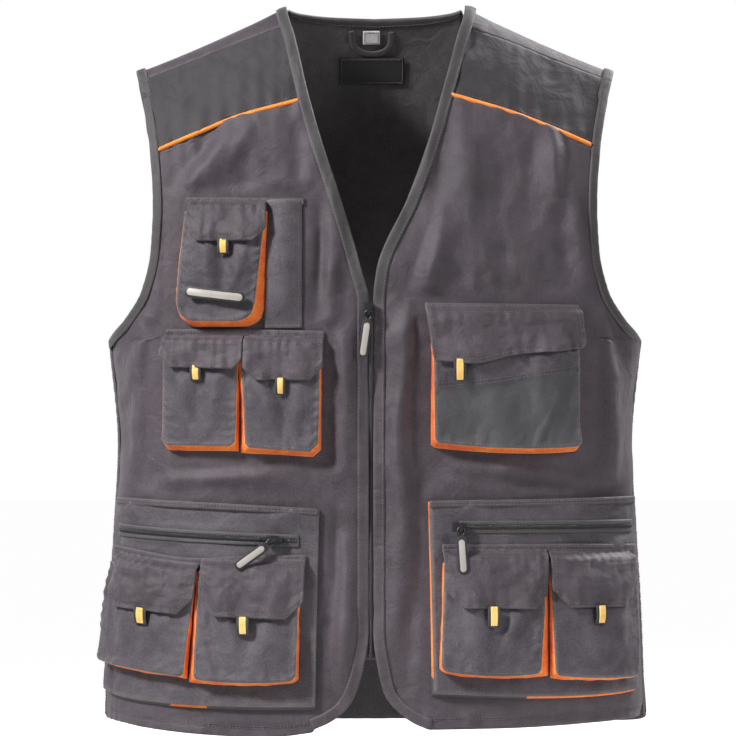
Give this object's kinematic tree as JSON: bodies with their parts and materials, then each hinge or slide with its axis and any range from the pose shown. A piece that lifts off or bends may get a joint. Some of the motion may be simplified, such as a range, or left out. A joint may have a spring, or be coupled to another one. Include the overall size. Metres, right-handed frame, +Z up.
{
  "type": "utility work vest",
  "caption": "Sleeveless zip-front work vest in worn form, V-neck, piped yokes, bellows pockets with flaps, zipped lower pockets and a hanger loop.",
  "frame": {"origin": "middle between the two neck points, on top of the shoulders", "axes": "+Z up along the wearer's body, -Y the wearer's front, -X the wearer's right"},
  "size_m": [0.5504, 0.2201, 0.7333],
  "materials": {
    "body_cloth": "matte twill, dark warm grey",
    "yoke_cloth": "matte twill, darker grey",
    "pocket_cloth": "matte twill, cool grey",
    "dark_lining": "smooth near-black lining",
    "orange_mesh": "red-orange gusset cloth",
    "orange_piping": "light orange piping",
    "cream_webbing": "cream webbing",
    "dark_metal": "dark enamelled zip metal",
    "pale_plate": "pale bare plate with a dark edge"
  },
  "bodies": {
    "garment": {"back_panel": "body_cloth", "front_panel_right": "body_cloth", "front_panel_left": "body_cloth", "yoke_right": "yoke_cloth", "piping_right": "orange_piping", "front_band_right": "yoke_cloth", "armhole_band_right": "yoke_cloth", "yoke_left": "yoke_cloth", "piping_left": "orange_piping", "front_band_left": "yoke_cloth", "armhole_band_left": "yoke_cloth", "back_neck_band": "dark_lining", "hanger_loop": "dark_lining", "neck_patch": "dark_lining", "size_label": "pale_plate", "pen_pocket": "pocket_cloth", "right_base_pocket_gusset": "orange_mesh", "right_base_pocket_front": "pocket_cloth", "left_base_pocket_gusset": "orange_mesh", "left_base_pocket_front": "pocket_cloth", "phone_pocket_gusset": "orange_mesh", "phone_pocket_front": "pocket_cloth", "phone_pocket_flap": "body_cloth", "phone_pocket_tab": "cream_webbing", "small_pocket_gusset": "orange_mesh", "small_pocket_outer_front": "pocket_cloth", "small_pocket_inner_front": "pocket_cloth", "small_pocket_outer_flap": "body_cloth", "small_pocket_inner_flap": "body_cloth", "small_pocket_outer_tab": "cream_webbing", "small_pocket_inner_tab": "cream_webbing", "chest_pocket_gusset": "orange_mesh", "chest_pocket_front": "pocket_cloth", "chest_pocket_flap": "body_cloth", "chest_pocket_tab": "cream_webbing", "right_cargo_pocket_gusset": "orange_mesh", "right_cargo_pocket_outer_front": "pocket_cloth", "right_cargo_pocket_inner_front": "pocket_cloth", "right_cargo_pocket_outer_flap": "body_cloth", "right_cargo_pocket_inner_flap": "body_cloth", "right_cargo_pocket_outer_tab": "cream_webbing", "right_cargo_pocket_inner_tab": "cream_webbing", "left_cargo_pocket_gusset": "orange_mesh", "left_cargo_pocket_inner_front": "pocket_cloth", "left_cargo_pocket_outer_front": "pocket_cloth", "left_cargo_pocket_inner_flap": "body_cloth", "left_cargo_pocket_outer_flap": "body_cloth", "left_cargo_pocket_inner_tab": "cream_webbing", "left_cargo_pocket_outer_tab": "cream_webbing", "phone_pocket_badge": "pale_plate", "right_zip": "dark_metal", "left_zip": "dark_metal", "front_zip_tape": "yoke_cloth", "front_zip_chain": "dark_metal", "front_zip_slider": "dark_metal", "right_zip_slider": "dark_metal", "left_zip_slider": "dark_metal"},
    "front_pull": {"front_zip_pull": "pale_plate"},
    "right_pull": {"right_zip_pull": "pale_plate"},
    "left_pull": {"left_zip_pull": "pale_plate"}
  },
  "joints": [
    {"name": "front_pull_hinge", "type": "hinge", "parent": "garment", "child": "front_pull", "pos_m": [-0.00603, -0.11631, -0.30586], "axis": [-0.9903, 0.0064, 0.1392], "range_deg": [0, 150]},
    {"name": "right_pull_hinge", "type": "hinge", "parent": "garment", "child": "right_pull", "pos_m": [-0.10015, -0.11055, -0.53368], "axis": [-0.5839, 0.0706, 0.8088], "range_deg": [0, 120]},
    {"name": "left_pull_hinge", "type": "hinge", "parent": "garment", "child": "left_pull", "pos_m": [0.08489, -0.11142, -0.52096], "axis": [-0.9963, -0.0686, -0.0523], "range_deg": [0, 140]}
  ]
}
